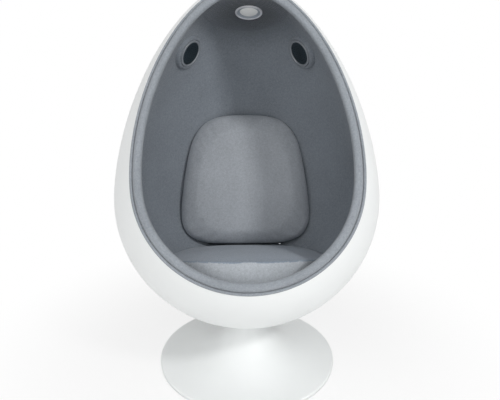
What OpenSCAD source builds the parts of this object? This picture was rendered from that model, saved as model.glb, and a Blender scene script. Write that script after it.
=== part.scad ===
// Pod chair: an egg-shaped shell with a padded lining on a swivelling tulip base
// Millimetres, +Z up, sitter faces -Y, origin on the floor on the swivel axis

/* [Egg shell] */
// Largest radius of the shell, seen from the front
egg_r = 430; // [380:5:480]
// Length of the egg below its widest ring, along its own axis
egg_low = 424; // [380:2:470]
// Length of the egg above its widest ring, along its own axis
egg_high = 721; // [640:1:800]
// Height of the centre of the widest ring above the floor
egg_z = 583; // [560:1:640]
// Distance of that centre behind the swivel axis
egg_y = 45; // [30:1:60]
// Backward lean of the egg axis in degrees
egg_lean = 18.6; // [14:0.2:22]
// Wall thickness of the shell
shell_t = 5; // [4:0.5:8]

/* [Opening] */
// Distance from the egg centre to the plane of the opening
opening_reach = 266.5; // [240:0.5:290]
// Angle between the opening plane and the egg axis in degrees
opening_tilt = 12.8; // [9:0.2:16]
// Height of the padded roll along the rim
roll_h = 13; // [8:0.5:18]
// Height of the narrow welt along the shell edge
welt_h = 5; // [3:0.5:8]
// Depth of the shell edge and trim that the welt covers
welt_w = 7; // [6:0.5:10]

/* [Lining] */
// Thickness of the foam glued inside the shell
foam_t = 19.4; // [14:0.2:30]
// Thickness of the fabric over the foam
fabric_t = 2; // [1:0.5:3]
// Drop of the ceiling below the top of the egg, along the egg axis
ceiling_drop = 77.4; // [64:0.2:90]
// Radius of the shallow dome of the ceiling
ceiling_r = 600; // [500:10:800]
// How far forward the middle of that dome lies
ceiling_forward = 45; // [30:1:80]

/* [Seat cushion] */
// Distance of the sides of the seat cushion inside the widest ring of the shell
seat_side_inset = 152; // [140:1:190]
// Distance of its front edge behind the reach of the opening
seat_front_inset = 21.5; // [12:0.5:50]
// Distance of its back edge inside the widest ring of the shell
seat_rear_inset = 83; // [70:1:110]
// Distance of the middle of the cushion behind the egg axis
seat_y = 65; // [50:1:80]
// Depth of the crown of the seat below the egg centre
seat_level = 175; // [165:1:190]
// Height of the seat cushion from its underside to its crown
seat_t = 108; // [90:1:120]

/* [Back cushion] */
// Distance of the sides of the back cushion inside the widest ring of the shell
back_side_inset = 180; // [170:1:210]
// Height of the back cushion above its widest line
back_up = 343; // [300:1:360]
// Height of the back cushion below its widest line
back_down = 160; // [150:1:165]
// Distance of its seam in front of the back of the widest ring
back_inset = 125; // [115:1:140]
// Thickness of the back cushion at its edge
back_edge_t = 36; // [24:1:44]
// How far the front of the back cushion swells past its edge
back_crown = 34; // [15:1:45]

/* [Base] */
// Radius of the base on the floor
base_r = 307; // [280:1:330]
// Radius of the neck of the base
neck_r = 48; // [46:1:56]
// Height of the top of the neck
neck_h = 147; // [140:0.5:148]
// Wall thickness of the base
base_t = 4; // [3:0.5:5]
// Height of the lip of the base above the foot ring
lip_h = 9; // [8:0.5:14]
// How quickly the foot of the base turns up into the neck
flare = 3; // [2.4:0.1:3.6]

/* [Swivel] */
// Diameter of the spindle
spindle_d = 30; // [26:1:32]
// Outer diameter of the column tube
column_d = 60; // [56:1:62]
// Wall thickness of the column tube
column_t = 5; // [4:0.5:6]
// Diameter of the mounting bolts
bolt_d = 8; // [6:1:10]
// Radius of the ring of mounting bolts
bolt_ring_r = 34; // [33:0.5:35]

/* [Speakers] */
// Radius of the outer ring of each speaker
bezel_r = 50; // [46:0.5:54]
// Radius of the grille of each speaker
grille_r = 41; // [38:0.5:44]
// Height of each speaker above the egg centre, along the egg axis
speaker_z = 519; // [490:1:530]
// Angle of each speaker behind the side of the pod in degrees
speaker_turn = 30; // [26:1:40]
// Angle that each speaker faces behind the side of the pod in degrees
speaker_aim = 24.5; // [16:0.5:30]
// Angle that each speaker looks down in degrees
speaker_down = 31.5; // [24:0.5:36]
// Height of the padded ring under each speaker above the lining
speaker_proud = 10; // [9:0.5:14]

/* [Lamp] */
// Radius of the outer ring of the lamp
lamp_r = 46.5; // [42:0.5:50]
// Radius of the lens of the lamp
lens_r = 31; // [26:0.5:32]
// Distance of the lamp behind the egg axis
lamp_y = 46; // [30:1:60]
// Distance of the lamp to the right of the middle
lamp_x = 12; // [0:1:20]

/* [Hidden] */

// Clearances shared by all pieces
glue = 0.3;
running = 0.05;
overrun = 1;
$fn = 96;

// Shape of the egg: exponents of its lower and upper meridian
egg_low_share = 2;
egg_high_share = 1.72;
egg_steps = 20;

// Depths below the outer surface of the shell, layer by layer
foam_out = shell_t + glue;
foam_in = foam_out + foam_t;
fabric_out = foam_in + glue;
lining_in = fabric_out + fabric_t;

// Ceiling and cushions, placed from the shell that holds them
ceiling_h = egg_high - ceiling_drop;
seat_half_w = egg_r - seat_side_inset;
seat_front = opening_reach + seat_y - seat_front_inset;
seat_rear = egg_r - seat_y - seat_rear_inset;
back_half_w = egg_r - back_side_inset;
back_y = egg_r - back_inset;

// A point of the meridian at depth d, for an angle from -90 at the bottom to 90 at the top
function meridian(u, d) = u < 0
    ? [(egg_r - d) * pow(cos(u), 2 / egg_low_share), -(egg_low - d) * pow(-sin(u), 2 / egg_low_share)]
    : [(egg_r - d) * pow(cos(u), 2 / egg_high_share), (egg_high - d) * pow(sin(u), 2 / egg_high_share)];

// Radius of the egg at depth d and height z along its axis
function egg_radius(z, d) = let (
    share = z < 0 ? egg_low_share : egg_high_share,
    t = abs(z) / ((z < 0 ? egg_low : egg_high) - d)
) t >= 1 ? 0 : (egg_r - d) * pow(1 - pow(t, share), 1 / share);

// Places of the egg and its opening
module in_egg() { translate([0, egg_y, egg_z]) rotate([-egg_lean, 0, 0]) children(); }
module in_opening() {
    in_egg() rotate([90 - opening_tilt, 0, 0]) translate([0, 0, opening_reach]) children();
}

// Whole egg at depth d
module egg(d) {
    in_egg() rotate_extrude($fn = 128)
        polygon([for (i = [-egg_steps : egg_steps]) meridian(90 * i / egg_steps, d)]);
}

// The ceiling is a shallow dome; the arc is its profile, raised by extra
dome_span = 42;
dome_step = 3;
function dome_point(u, extra) = (ceiling_r + extra) * [sin(u), cos(u)];
function dome_arc(extra) = [for (u = [0 : dome_step : dome_span]) dome_point(u, extra)];
function dome_arc_back(extra) = [for (u = [dome_span : -dome_step : 0]) dome_point(u, extra)];
module in_dome() { in_egg() translate([0, -ceiling_forward, ceiling_h - ceiling_r]) children(); }
module above_dome(extra) {
    in_dome() rotate_extrude($fn = 128)
        polygon(concat(dome_arc(extra), [[ceiling_r * sin(dome_span), 2 * ceiling_r], [0, 2 * ceiling_r]]));
}

// Half space in front of the opening plane
cut_size = 3 * egg_high;
module in_front() {
    in_opening() translate([-cut_size / 2, -cut_size / 2, 0]) cube([cut_size, cut_size, cut_size]);
}

// Distance from the middle of the opening to the egg surface at depth d, in direction a
ring_centre = 110;
bisections = 30;
function ring_y(rho, a) = ring_centre + rho * sin(a);
function ring_inside(rho, a, d) = let (
    y = ring_y(rho, a) * sin(opening_tilt) - opening_reach * cos(opening_tilt),
    z = ring_y(rho, a) * cos(opening_tilt) + opening_reach * sin(opening_tilt)
) norm([rho * cos(a), y]) < egg_radius(z, d);
function ring_r(a, d, low = 0, high = 2 * egg_high, n = bisections) = n == 0 ? (low + high) / 2 :
    let (mid = (low + high) / 2) ring_inside(mid, a, d)
        ? ring_r(a, d, mid, high, n - 1) : ring_r(a, d, low, mid, n - 1);

// Closed skin over rings of points, each ring with the same number of points
module skin(rings) {
    n = len(rings[0]);
    last = len(rings) - 1;
    polyhedron(
        points = concat([for (ring = rings) each ring], [middle_of(rings[0]), middle_of(rings[last])]),
        faces = concat(
            [for (i = [0 : last - 1], j = [0 : n - 1]) let (k = (j + 1) % n, h = i + 1)
                each [[i * n + j, i * n + k, h * n + k], [i * n + j, h * n + k, h * n + j]]],
            [for (j = [0 : n - 1]) [(j + 1) % n, j, len(rings) * n]],
            [for (j = [0 : n - 1]) [last * n + j, last * n + (j + 1) % n, len(rings) * n + 1]]
        )
    );
}
function sum_of(ring, i = 0) = i == len(ring) ? [0, 0, 0] : ring[i] + sum_of(ring, i + 1);
function middle_of(ring) = sum_of(ring) / len(ring);

// Closed tube over sections, joined end to end in a loop
module loop_skin(sections) {
    n = len(sections[0]);
    m = len(sections);
    polyhedron(
        points = [for (section = sections) each section],
        faces = [for (i = [0 : m - 1], j = [0 : n - 1]) let (k = (j + 1) % n, h = (i + 1) % m)
            each [[i * n + j, i * n + k, h * n + k], [i * n + j, h * n + k, h * n + j]]]
    );
}

// Trim along the rim: a flat back and a rounded front between two depths below the outer surface
trim_sections = 80;
trim_round = 8;
trim_round_share = 0.8;
function trim_point(a, outer, inner, h, t) = let (
    mid = (outer + inner) / 2,
    rho = mid + (outer - inner) / 2 * cos(t)
) [rho * cos(a), ring_y(rho, a), glue + h * pow(sin(t), trim_round_share)];
module rim_trim(outer_d, inner_d, h) {
    in_opening() loop_skin([for (i = [0 : trim_sections - 1]) let (
        a = 360 * i / trim_sections,
        outer = ring_r(a, outer_d),
        inner = ring_r(a, inner_d)
    ) [for (j = [0 : trim_round]) trim_point(a, outer, inner, h, 180 * j / trim_round)]]);
}

// Base: a spun trumpet, hollow below
foot_t = 4;
foot_w = 14;
foot_inset = 3;
base_steps = 24;
base_floor = foot_t + glue;
lip_top = base_floor + lip_h;
function trumpet_z(r) = lip_top + (neck_h - lip_top) * pow((base_r - r) / (base_r - neck_r), flare);
function trumpet_r(i) = base_r - lip_h / 2 + (neck_r - base_r + lip_h / 2) * i / base_steps;
lip_steps = 6;
module base_shell() {
    color("white") difference() {
        rotate_extrude() polygon(concat(
            [[0, base_floor], [base_r - lip_h / 2, base_floor]],
            [for (i = [1 : lip_steps - 1]) let (u = -90 + 180 * i / lip_steps)
                [base_r - lip_h / 2 + lip_h / 2 * cos(u), base_floor + lip_h / 2 + lip_h / 2 * sin(u)]],
            [for (i = [0 : base_steps]) [trumpet_r(i), trumpet_z(trumpet_r(i))]],
            [[0, neck_h]]
        ));
        rotate_extrude() polygon(concat(
            [[0, base_floor - overrun], [base_r - lip_h, base_floor - overrun]],
            [[base_r - lip_h, lip_top - base_t]],
            [for (i = [1 : base_steps]) [trumpet_r(i) - base_t, trumpet_z(trumpet_r(i)) - base_t]],
            [[neck_r - base_t, neck_h + overrun], [0, neck_h + overrun]]
        ));
    }
}

// Foot ring: a flat rubber ring under the lip
module foot_ring() {
    color("dimgray") rotate_extrude()
        translate([base_r - foot_inset - foot_w, 0]) square([foot_w, foot_t]);
}

// Ballast plate, clamped under the lip and carrying the column
plate_t = 4.5;
plate_room = 2;
plate_r = base_r - lip_h - plate_room;
plate_z = base_floor;
module base_plate() {
    color("dimgray") difference() {
        rotate_extrude() translate([0, plate_z]) square([plate_r, plate_t]);
        column_bolt_holes(plate_z - overrun, plate_t + 2 * overrun);
    }
}

// Column tube with its foot flange
column_z = plate_z + plate_t;
column_top = 126;
column_flange_r = 62;
column_flange_t = 6;
column_bore = column_d - 2 * column_t;
column_bolt_r = 46;
column_bolt_d = 8;
column_bolt_count = 6;
module column_bolt_places() {
    for (i = [0 : column_bolt_count - 1]) rotate([0, 0, 360 * i / column_bolt_count])
        translate([column_bolt_r, 0, 0]) children();
}
module column_bolt_holes(z, h) {
    column_bolt_places() translate([0, 0, z]) cylinder(d = column_bolt_d + 2 * running, h = h, $fn = 32);
}
module column() {
    color("dimgray") difference() {
        union() {
            translate([0, 0, column_z]) cylinder(d = column_d, h = column_top - column_z);
            translate([0, 0, column_z]) cylinder(r = column_flange_r, h = column_flange_t);
        }
        translate([0, 0, column_z - overrun])
            cylinder(d = column_bore, h = column_top - column_z + 2 * overrun);
        column_bolt_holes(column_z - overrun, column_flange_t + 2 * overrun);
    }
}

// Hexagon-headed bolts through the flange into the ballast plate
bolt_head_share = 1.6;
bolt_head_h_share = 0.65;
module column_bolts() {
    color("silver") column_bolt_places() {
        translate([0, 0, plate_z]) cylinder(d = column_bolt_d, h = plate_t + column_flange_t, $fn = 32);
        translate([0, 0, column_z + column_flange_t])
            cylinder(d = column_bolt_d * bolt_head_share, h = column_bolt_d * bolt_head_h_share, $fn = 6);
    }
}

// Flanged bushes, one from each end of the column
bush_h = 24;
bush_flange_t = 2;
spindle_rise = 12;
spindle_tail = 10;
spindle_bottom = column_z + spindle_rise;
bush_low_z = spindle_bottom + spindle_tail;
module bush(z) {
    color("ivory") rotate_extrude() translate([spindle_d / 2 + running, z])
        square([column_bore / 2 - spindle_d / 2 - running, bush_h]);
}
module lower_bush() { bush(bush_low_z); }
module upper_bush() {
    bush(column_top - bush_h);
    color("ivory") rotate_extrude() translate([spindle_d / 2 + running, column_top])
        square([column_d / 2 - spindle_d / 2 - running, bush_flange_t]);
}

// Thrust bearing between the column and the spindle plate
bearing_z = column_top + bush_flange_t;
race_w = 11;
race_t = 4.5;
ball_d = 8;
ball_count = 12;
groove_depth = 1.5;
ball_gap = 0.1;
race_in = spindle_d / 2 + running;
ball_ring_r = race_in + race_w / 2;
ball_z = bearing_z + race_t - groove_depth + ball_gap + ball_d / 2;
bearing_h = 2 * (ball_z - bearing_z);
module race() {
    color("silver") difference() {
        rotate_extrude() translate([race_in, 0]) square([race_w, race_t]);
        rotate_extrude() translate([ball_ring_r, ball_z - bearing_z])
            circle(d = ball_d + 2 * ball_gap, $fn = 48);
    }
}
module bearing_lower_race() { translate([0, 0, bearing_z]) race(); }
module bearing_upper_race() { translate([0, 0, bearing_z + bearing_h]) mirror([0, 0, 1]) race(); }
module ball_places() {
    for (i = [0 : ball_count - 1]) rotate([0, 0, 360 * i / ball_count])
        translate([ball_ring_r, 0, ball_z]) children();
}
module bearing_balls() { color("gainsboro") ball_places() sphere(d = ball_d, $fn = 32); }
cage_t = 2;
cage_w = 9;
module bearing_cage() {
    color("goldenrod") difference() {
        rotate_extrude() translate([ball_ring_r - cage_w / 2, ball_z - cage_t / 2]) square([cage_w, cage_t]);
        ball_places() sphere(d = ball_d + 2 * ball_gap, $fn = 32);
    }
}

// Spindle with its bolting plate and a groove for the clip
spindle_plate_z = bearing_z + bearing_h;
spindle_plate_t = 7;
spindle_plate_r = 42;
clip_t = 1.5;
clip_depth = 1.5;
clip_w = 5;
clip_z = bush_low_z - glue - clip_t;
module mount_bolt_places() {
    for (i = [0 : 3]) rotate([0, 0, 45 + 90 * i]) translate([bolt_ring_r, 0, 0]) children();
}
module mount_bolt_holes() {
    mount_bolt_places() translate([0, 0, spindle_plate_z - overrun])
        cylinder(d = bolt_d + 2 * running, h = bolt_l + 2 * overrun, $fn = 32);
}
module spindle() {
    color("silver") difference() {
        union() {
            translate([0, 0, spindle_bottom])
                cylinder(d = spindle_d, h = spindle_plate_z - spindle_bottom + overrun);
            translate([0, 0, spindle_plate_z]) cylinder(r = spindle_plate_r, h = spindle_plate_t);
        }
        translate([0, 0, clip_z]) difference() {
            cylinder(d = spindle_d + overrun, h = clip_t);
            translate([0, 0, -overrun]) cylinder(r = spindle_d / 2 - clip_depth, h = clip_t + 2 * overrun);
        }
        mount_bolt_holes();
    }
}
clip_gap_share = 0.7;
module spindle_clip() {
    color("dimgray") difference() {
        translate([0, 0, clip_z + running])
            cylinder(r = spindle_d / 2 + clip_w - clip_depth, h = clip_t - 2 * running);
        translate([0, 0, clip_z - overrun])
            cylinder(r = spindle_d / 2 - clip_depth + running, h = clip_t + 2 * overrun);
        translate([0, -spindle_d * clip_gap_share / 2, clip_z - overrun])
            cube([spindle_d, spindle_d * clip_gap_share, clip_t + 2 * overrun]);
    }
}

// Wedge between the level spindle plate and the round bottom of the shell
boss_z = spindle_plate_z + spindle_plate_t;
boss_r = 46;
boss_reach = 30;
module mount_boss() {
    color("white") difference() {
        translate([0, 0, boss_z]) cylinder(r = boss_r, h = boss_reach);
        egg(-glue);
        mount_bolt_holes();
    }
}

// Threaded block inside the shell that takes the mounting bolts
block_top = 178;
block_cover = 2;
bolt_l = block_top - spindle_plate_z - block_cover;
module backing_block() {
    color("dimgray") difference() {
        intersection() {
            translate([0, 0, boss_z]) cylinder(r = boss_r, h = block_top - boss_z);
            egg(foam_out);
        }
        mount_bolt_holes();
    }
}
module mount_bolts() {
    color("silver") mount_bolt_places() {
        translate([0, 0, spindle_plate_z]) cylinder(d = bolt_d, h = bolt_l, $fn = 32);
        translate([0, 0, spindle_plate_z - bolt_d * bolt_head_h_share])
            cylinder(d = bolt_d * bolt_head_share, h = bolt_d * bolt_head_h_share, $fn = 6);
    }
}

// Outer shell with its bolt holes and the hole of the power inlet
module outer_shell() {
    color("white") difference() {
        egg(0);
        egg(shell_t);
        in_front();
        mount_bolt_holes();
        at_inlet() inlet_hole();
    }
}

// Foam between shell and fabric, cut out round the speakers, the lamp, the block and the inlet
module lining_foam() {
    color("slategray") difference() {
        egg(foam_out);
        difference() {
            egg(foam_in);
            above_dome(fabric_t + glue);
        }
        in_front();
        translate([0, 0, boss_z]) cylinder(r = boss_r + glue, h = block_top + glue - boss_z);
        for (side = [-1, 1]) at_speaker(side) speaker_bore();
        at_lamp() lamp_bore();
        at_inlet() inlet_hole();
    }
}

// Fabric over the foam of the wall, up to the ceiling panel
module lining_fabric() {
    color("slategray") difference() {
        egg(fabric_out);
        egg(lining_in);
        in_front();
        above_dome(-glue);
        for (side = [-1, 1]) at_speaker(side) speaker_bore();
    }
}

// Domed fabric panel of the ceiling
module ceiling_fabric() {
    color("slategray") difference() {
        intersection() {
            egg(fabric_out);
            in_dome() rotate_extrude($fn = 128) polygon(concat(dome_arc(fabric_t), dome_arc_back(0)));
        }
        in_front();
        at_lamp() lamp_bore();
    }
}

// Trim along the rim
trim_gap = 0.5;
module rim_welt() { color("gray") rim_trim(0, welt_w, welt_h); }
module rim_roll() { color("darkgray") rim_trim(welt_w + trim_gap, lining_in, roll_h); }

// Keeps a point of a cushion inside the lining
cushion_gap = 0.6;
function inside(p) = let (
    r = norm([p[0], p[1]]),
    limit = egg_radius(p[2], lining_in) - cushion_gap
) r > limit ? [p[0] * limit / r, p[1] * limit / r, p[2]] : p;

// Signed power, for superellipses
function spow(v, share) = sign(v) * pow(abs(v), share);

// Plinth that fills the bottom of the lining under the seat cushion
plinth_top = -seat_level - seat_t - glue;
module seat_plinth() {
    color("slategray") difference() {
        egg(lining_in + glue);
        in_egg() translate([-cut_size / 2, -cut_size / 2, plinth_top]) cube(cut_size);
        in_front();
        amplifier_place() translate([-glue, -glue, -glue])
            cube([amplifier_w + 2 * glue, amplifier_d + 2 * glue, amplifier_h + overrun + glue]);
        in_egg() translate([-zip_l / 2 - glue, seat_y + seat_zip_y - zip_w / 2 - glue, plinth_top - zip_room])
            cube([zip_l + 2 * glue, zip_w + 2 * glue, zip_room + overrun]);
    }
}

// Seat cushion: round in plan, crowned on top, with a boxed side that tucks in at its seams
seat_points = 56;
seat_plan_share = 2.1;
seat_rear_share = 2.5;
seat_side_drop = 28;
seat_side_share = 2.4;
seat_rear_drop = 12;
seat_front_drop = 5;
seat_seam = 9;
seat_tuck_share = 0.975;
seat_belly = 6;
seat_top_shares = [0.2, 0.45, 0.7, 0.88, 0.96];
seat_side_shares = [0.12, 0.35, 0.6, 0.85];
seat_bottom_shares = [0.9, 0.65, 0.3];
seat_edge_share = 0.02;
function seat_plan(a, s) = let (
    share = sin(a) > 0 ? seat_rear_share : seat_plan_share,
    reach = sin(a) > 0 ? seat_rear : seat_front
) [s * seat_half_w * spow(cos(a), 2 / share), seat_y + s * reach * spow(sin(a), 2 / share)];
function seat_surface(p) = let (
    u = abs(p[0]) / seat_half_w,
    v = (p[1] - seat_y) / (p[1] > seat_y ? seat_rear : seat_front)
) -seat_level - seat_side_drop * pow(u, seat_side_share) - (v > 0 ? seat_rear_drop : seat_front_drop) * v * v;
function seat_ring(s, z_share) = [for (i = [0 : seat_points - 1]) let (
    a = -360 * i / seat_points,
    p = seat_plan(a, s),
    top = seat_surface(p) - (s < 1 ? 0 : seat_seam / 2),
    bottom = -seat_level - seat_t
) inside([p[0], p[1], top + (bottom - top) * z_share])];
module seat_cushion() {
    color("lightslategray") in_egg() skin(concat(
        [for (s = seat_top_shares) seat_ring(s, 0)],
        [seat_ring(seat_tuck_share + (1 - seat_tuck_share) / 2, seat_edge_share)],
        [for (z = seat_side_shares) seat_ring(1 + seat_belly / seat_half_w * sin(180 * z), z)],
        [for (s = seat_bottom_shares) seat_ring(s, 1)]
    ));
}

// Back cushion: a pillow with a crown, drawn-in sides and a flat bottom edge
back_points = 56;
back_level = 20;
back_up_share = 2.9;
back_down_share = 4;
back_flat = 4;
back_swell_share = 0.75;
back_rear_swell = 30;
back_front_shares = [0.15, 0.4, 0.62, 0.8, 0.92, 0.98];
back_rear_shares = [0.96, 0.85, 0.65, 0.4, 0.15];
function back_outline(a, s) = let (
    share = sin(a) > 0 ? back_up_share : back_down_share,
    reach = sin(a) > 0 ? back_up : back_down,
    z = max(s * reach * spow(sin(a), 2 / share), back_flat - back_down)
) [s * back_half_w * spow(cos(a), 2 / share), z - back_level];
back_round = 3;
function back_wall(p) = sqrt(pow(egg_radius(p[1], lining_in), 2) - p[0] * p[0]) - cushion_gap;
function back_ring(s, front) = [for (i = [0 : back_points - 1]) let (
    p = back_outline(360 * i / back_points, s),
    swell = pow(1 - s * s, back_swell_share),
    half = back_edge_t / 2,
    y = front ? back_y - half - back_crown * swell : back_y + half + back_rear_swell * swell
) [p[0], min(y, back_wall(p)), p[1]]];
function back_seam_ring(t) = [for (i = [0 : back_points - 1]) let (
    p = back_outline(360 * i / back_points, 1),
    low = back_y - back_edge_t / 2 + back_round,
    high = min(back_y + back_edge_t / 2, back_wall(p)) - back_round
) [p[0], low + (high - low) * t, p[1]]];
module back_cushion() {
    color("lightslategray") in_egg() skin(concat(
        [for (s = back_front_shares) back_ring(s, true)],
        [back_seam_ring(0), back_seam_ring(1)],
        [for (s = back_rear_shares) back_ring(s, false)]
    ));
}

// Zips: a tape with a row of teeth along the flat lower edge of the back cushion
zip_l = 290;
zip_w = 12;
zip_t = 1;
teeth_w = 4;
teeth_t = 1.2;
zip_room = zip_t + teeth_t + glue;
back_bottom = back_flat - back_down - back_level;
module zip_strip(length) {
    translate([-length / 2, -zip_w / 2, -zip_t]) cube([length, zip_w, zip_t]);
    translate([-length / 2, -teeth_w / 2, -zip_t - teeth_t]) cube([length, teeth_w, teeth_t]);
}
module back_zip() { color("black") in_egg() translate([0, back_y, back_bottom - glue]) zip_strip(zip_l); }

// Zip slider with its pull tab, at the closed end of the zip
slider_x = 134;
slider_l = 9;
slider_w = 7;
slider_t = 1.6;
tab_l = 22;
tab_w = 5;
tab_t = 1.2;
slider_z = back_bottom - glue - zip_t - teeth_t - glue;
module zip_slider() {
    color("silver") in_egg() translate([slider_x - slider_l / 2, back_y, slider_z]) {
        translate([0, -slider_w / 2, -slider_t]) cube([slider_l, slider_w, slider_t]);
        translate([slider_l / 2 - tab_w / 2, -tab_l, -slider_t]) cube([tab_w, tab_l, tab_t]);
    }
}

// Zip of the seat cushion, lying along the back of its underside
seat_zip_inset = 152;
seat_zip_y = seat_rear - seat_zip_inset;
module seat_zip() {
    color("black") in_egg() translate([0, seat_y + seat_zip_y, plinth_top]) zip_strip(zip_l);
}

// Amplifier, in a pocket of the plinth under the seat cushion
amplifier_w = 150;
amplifier_d = 96;
amplifier_h = 42;
amplifier_y = 40;
module amplifier_place() {
    in_egg() translate([-amplifier_w / 2, amplifier_y, plinth_top - amplifier_h]) children();
}
module amplifier() { color("black") amplifier_place() cube([amplifier_w, amplifier_d, amplifier_h]); }

// Power inlet, low on the back of the shell
inlet_r = 11;
inlet_rim_r = 14;
inlet_rim_t = 2;
inlet_depth = 16;
inlet_bore_r = 4;
inlet_z = -150;
module at_inlet() {
    in_egg() translate([0, egg_radius(inlet_z, 0), inlet_z]) rotate([-90 - inlet_pitch, 0, 0]) children();
}
inlet_pitch = atan(egg_r * -inlet_z / (egg_low * sqrt(egg_low * egg_low - inlet_z * inlet_z)));
module inlet_hole() {
    translate([0, 0, -inlet_depth - glue]) cylinder(r = inlet_r + glue, h = 2 * inlet_depth, $fn = 48);
}
module power_inlet() {
    color("dimgray") at_inlet() difference() {
        union() {
            translate([0, 0, -inlet_depth]) cylinder(r = inlet_r, h = inlet_depth + glue, $fn = 48);
            translate([0, 0, glue]) cylinder(r = inlet_rim_r, h = inlet_rim_t, $fn = 48);
        }
        translate([0, 0, -inlet_depth / 2]) cylinder(r = inlet_bore_r, h = inlet_depth, $fn = 32);
    }
}

// Speakers: +Z of their own frame looks at the sitter, and z = 0 is the face of the padded ring
speaker_r = egg_radius(speaker_z, lining_in);
module at_speaker(side) {
    in_egg() mirror([side > 0 ? 1 : 0, 0, 0]) rotate([0, 0, -speaker_turn])
        translate([-speaker_r, 0, speaker_z])
            rotate([0, 0, speaker_turn - speaker_aim]) rotate([0, 90 + speaker_down, 0])
                translate([0, 0, speaker_proud]) children();
}
basket_mouth_r = 39;
bore_room = 1.5;
bore_r = basket_mouth_r + bore_room;
bore_depth = 60;
module speaker_bore() {
    translate([0, 0, -bore_depth]) cylinder(r = bezel_r + glue, h = bore_depth + speaker_proud);
}

// Padded ring that turns each speaker towards the sitter, plugged into the bore of the lining
pad_edge = 4;
pad_slope = 12;
pad_depth = 34;
pad_plug = 12;
module speaker_pad(side) {
    color("slategray") difference() {
        union() {
            intersection() {
                at_speaker(side) translate([0, 0, -pad_depth])
                    cylinder(r1 = bezel_r + pad_edge + pad_slope, r2 = bezel_r + pad_edge, h = pad_depth);
                egg(lining_in + glue);
            }
            at_speaker(side) translate([0, 0, -pad_plug]) cylinder(r = bezel_r, h = pad_plug);
        }
        at_speaker(side) {
            translate([0, 0, -pad_depth - overrun]) cylinder(r = bore_r, h = pad_depth + 2 * overrun);
            screw_places() translate([0, 0, flange_top - screw_l - glue])
                cylinder(r = screw_r + running, h = screw_l + overrun, $fn = 20);
        }
    }
}

// Basket: a thin stepped cup that carries the moving parts, with a flange on the padded ring
basket_t = 1.2;
basket_seat_r = 20;
basket_depth = 15;
basket_step = 5;
flange_t = 1.5;
flange_inset = 2;
flange_r = bezel_r - flange_inset;
flange_top = glue + flange_t;
module speaker_basket(side) {
    color("dimgray") at_speaker(side) difference() {
        rotate_extrude() polygon([
            [basket_mouth_r - basket_t, flange_top],
            [basket_mouth_r - basket_t, -basket_step],
            [basket_seat_r - basket_t, -basket_depth + basket_t],
            [coil_r + coil_room, -basket_depth + basket_t],
            [coil_r + coil_room, -basket_depth],
            [basket_seat_r, -basket_depth],
            [basket_mouth_r, -basket_step - basket_t / 2],
            [basket_mouth_r, glue],
            [flange_r, glue],
            [flange_r, flange_top]
        ]);
        screw_places() translate([0, 0, -overrun])
            cylinder(r = screw_r + running, h = flange_t + 2 * overrun, $fn = 20);
    }
}

// Bezel: a raised ring with a rounded face and a groove over the screw heads
bezel_t = 5;
bezel_lip = 2;
bezel_z = flange_top + glue;
module speaker_bezel(side) {
    color("gray") at_speaker(side) rotate_extrude() polygon(concat(
        [[grille_r + glue, bezel_z], [screw_ring_r - screw_head_r - glue, bezel_z],
            [screw_ring_r - screw_head_r - glue, bezel_z + screw_head_t],
            [screw_ring_r + screw_head_r + glue, bezel_z + screw_head_t],
            [screw_ring_r + screw_head_r + glue, bezel_z], [bezel_r, bezel_z]],
        [for (u = [0 : 15 : 90])
            [bezel_r - bezel_lip + bezel_lip * cos(u), bezel_z + bezel_t - bezel_lip + bezel_lip * sin(u)]],
        [[grille_r + bezel_lip + glue, bezel_z + bezel_t], [grille_r + glue, bezel_z + bezel_t - bezel_lip]]
    ));
}

// Grille: a thin disc with rings of holes, in front of the flange
grille_t = 1.2;
hole_r = 2.2;
hole_rings = 4;
hole_step = 9;
holes_per_ring = 6;
module speaker_grille(side) {
    color("black") at_speaker(side) difference() {
        translate([0, 0, bezel_z]) cylinder(r = grille_r, h = grille_t);
        for (ring = [0 : hole_rings], i = [0 : max(1, ring * holes_per_ring) - 1])
            rotate([0, 0, 360 * i / max(1, ring * holes_per_ring)])
                translate([ring * hole_step, 0, 0])
                    cylinder(r = hole_r, h = bezel_z + grille_t + overrun, $fn = 20);
    }
}

// Screws that hold each basket to its padded ring, hidden under the bezel
screw_r = 1.2;
screw_head_r = 2;
screw_head_t = 1;
screw_l = 8;
screw_inset = 3.5;
screw_ring_r = grille_r + screw_inset;
module screw_places() {
    for (i = [0 : 3]) rotate([0, 0, 45 + 90 * i]) translate([screw_ring_r, 0, 0]) children();
}
module speaker_screws(side) {
    color("silver") at_speaker(side) screw_places() {
        translate([0, 0, flange_top - screw_l]) cylinder(r = screw_r, h = screw_l, $fn = 20);
        translate([0, 0, flange_top]) cylinder(r = screw_head_r, h = screw_head_t, $fn = 24);
    }
}

// Magnet with the gap for the voice coil
magnet_r = 19;
magnet_t = 10;
coil_r = 10;
coil_t = 0.6;
coil_room = 0.5;
gap_depth = 8;
module speaker_magnet(side) {
    color("silver") at_speaker(side) rotate_extrude() polygon([
        [0, -basket_depth - magnet_t], [magnet_r, -basket_depth - magnet_t], [magnet_r, -basket_depth],
        [coil_r + coil_room, -basket_depth], [coil_r + coil_room, -basket_depth - gap_depth],
        [coil_r - coil_t - coil_room, -basket_depth - gap_depth],
        [coil_r - coil_t - coil_room, -basket_depth], [0, -basket_depth]
    ]);
}

// Surround: a half roll between basket and cone
cone_r = 31;
cone_t = 0.8;
cone_depth = 7;
surround_t = 0.8;
surround_w = basket_mouth_r - basket_t - cone_r - 3 * glue;
surround_z = -3;
surround_mid_r = cone_r + 2 * glue + surround_w / 2;
function surround_point(r, u) = [surround_mid_r - r * cos(u), surround_z + r * sin(u)];
module speaker_surround(side) {
    color("black") at_speaker(side) rotate_extrude() polygon(concat(
        [for (u = [0 : 20 : 180]) surround_point(surround_w / 2, u)],
        [for (u = [180 : -20 : 0]) surround_point(surround_w / 2 - surround_t, u)]
    ));
}

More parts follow.
